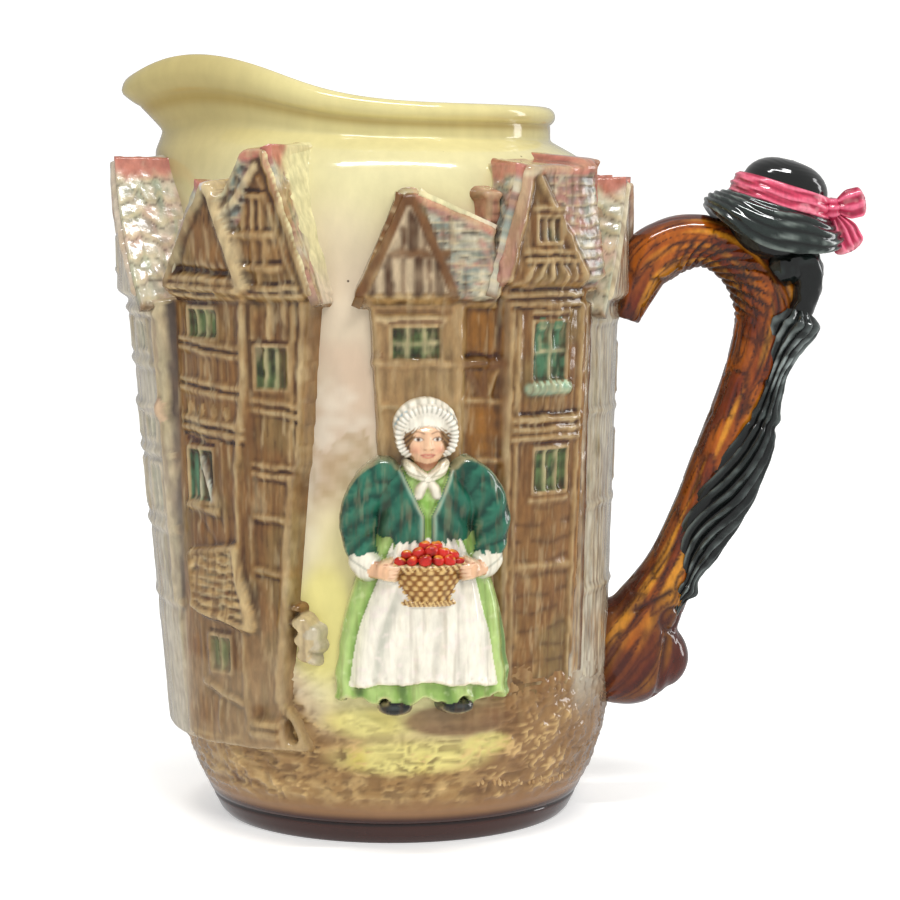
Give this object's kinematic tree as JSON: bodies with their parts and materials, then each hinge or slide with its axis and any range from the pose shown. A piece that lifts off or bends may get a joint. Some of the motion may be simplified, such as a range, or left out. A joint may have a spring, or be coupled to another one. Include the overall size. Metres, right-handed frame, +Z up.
{
  "type": "relief-moulded jug",
  "caption": "Hollow earthenware jug with a pulled spout, a street of houses and a standing woman in relief, and a branch handle carrying a furled umbrella and a straw hat.",
  "frame": {"origin": "centre of the flat underside, at the height of the surface that the jug stands on", "axes": "+Z up, the pouring lip at -X, the handle at +X, the side with the standing woman facing -Y"},
  "size_m": [0.198, 0.1337, 0.1984],
  "materials": {
    "glazed_earthenware": "glossy painted glaze"
  },
  "bodies": {
    "root": {"jug": "glazed_earthenware"}
  },
  "joints": []
}
